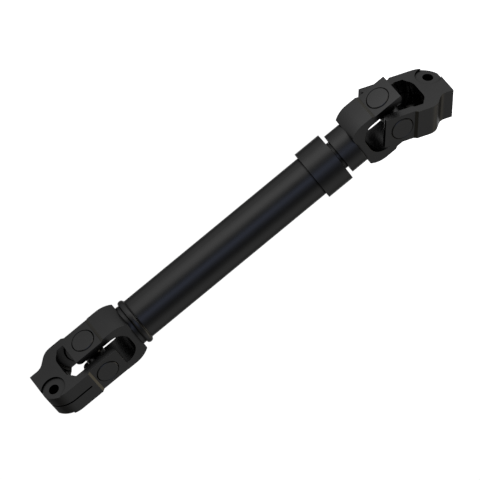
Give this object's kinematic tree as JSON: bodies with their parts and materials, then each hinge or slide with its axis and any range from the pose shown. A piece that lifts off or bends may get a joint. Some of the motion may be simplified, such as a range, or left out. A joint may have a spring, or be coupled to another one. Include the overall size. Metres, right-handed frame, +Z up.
{
  "type": "steering shaft",
  "caption": "Telescoping intermediate steering shaft: a serrated clamp yoke and universal joint at each end of a splined slip shaft and tube, to link steering column and gear.",
  "frame": {"origin": "centre of the lower clamp yoke's bore mouth, on the shaft's axis", "axes": "+X along the shaft from the lower clamp yoke to the upper one, +Y along the ears of the two shaft forks (the upper clamp yoke is swung 30 degrees towards -Y), +Z up along the ears of the two clamp yokes, with the lower yoke's pinch lug on its +Z side"},
  "size_m": [0.5102, 0.0776, 0.0602],
  "materials": {
    "black_forging": "black satin coating over forged steel",
    "black_tube": "black satin coating over drawn tube",
    "ground_steel": "black oxide over ground bearing steel",
    "bearing_steel": "polished needle rollers",
    "splined_steel": "phosphated and greased splines",
    "seal_rubber": "matt black nitrile rubber"
  },
  "bodies": {
    "tube": {"lower_tube_fork": "black_forging", "weld_bead": "black_tube", "outer_tube": "black_tube", "spline_sleeve": "splined_steel", "dust_collar": "black_tube", "wiper_seal": "seal_rubber", "lower_front_cup": "ground_steel", "lower_front_needles": "bearing_steel", "lower_front_seal": "seal_rubber", "lower_rear_cup": "ground_steel", "lower_rear_needles": "bearing_steel", "lower_rear_seal": "seal_rubber"},
    "lower_cross": {"lower_cross": "ground_steel"},
    "lower_clamp": {"lower_clamp_yoke": "black_forging", "lower_top_cup": "ground_steel", "lower_top_needles": "bearing_steel", "lower_top_seal": "seal_rubber", "lower_bottom_cup": "ground_steel", "lower_bottom_needles": "bearing_steel", "lower_bottom_seal": "seal_rubber"},
    "slip": {"slip_shaft": "splined_steel", "upper_slip_fork": "black_forging", "upper_front_cup": "ground_steel", "upper_front_needles": "bearing_steel", "upper_front_seal": "seal_rubber", "upper_rear_cup": "ground_steel", "upper_rear_needles": "bearing_steel", "upper_rear_seal": "seal_rubber"},
    "upper_cross": {"upper_cross": "ground_steel"},
    "upper_clamp": {"upper_clamp_yoke": "black_forging", "upper_top_cup": "ground_steel", "upper_top_needles": "bearing_steel", "upper_top_seal": "seal_rubber", "upper_bottom_cup": "ground_steel", "upper_bottom_needles": "bearing_steel", "upper_bottom_seal": "seal_rubber"}
  },
  "joints": [
    {"name": "lower_fork_hinge", "type": "hinge", "parent": "tube", "child": "lower_cross", "pos_m": [0.065, 0, 0], "axis": [0, 1, 0], "range_deg": [-12, 12]},
    {"name": "lower_clamp_hinge", "type": "hinge", "parent": "lower_cross", "child": "lower_clamp", "pos_m": [0.065, 0, 0], "axis": [0, 0, 1], "range_deg": [-30, 30]},
    {"name": "slip", "type": "slide", "parent": "tube", "child": "slip", "axis": [1, 0, 0], "range_m": [-0.0035, 0.06]},
    {"name": "upper_fork_hinge", "type": "hinge", "parent": "slip", "child": "upper_cross", "pos_m": [0.4453, 0, 0], "axis": [0, 1, 0], "range_deg": [-12, 12]},
    {"name": "upper_clamp_hinge", "type": "hinge", "parent": "upper_cross", "child": "upper_clamp", "pos_m": [0.4453, 0, 0], "axis": [0, 0, 1], "range_deg": [0, 60]}
  ]
}
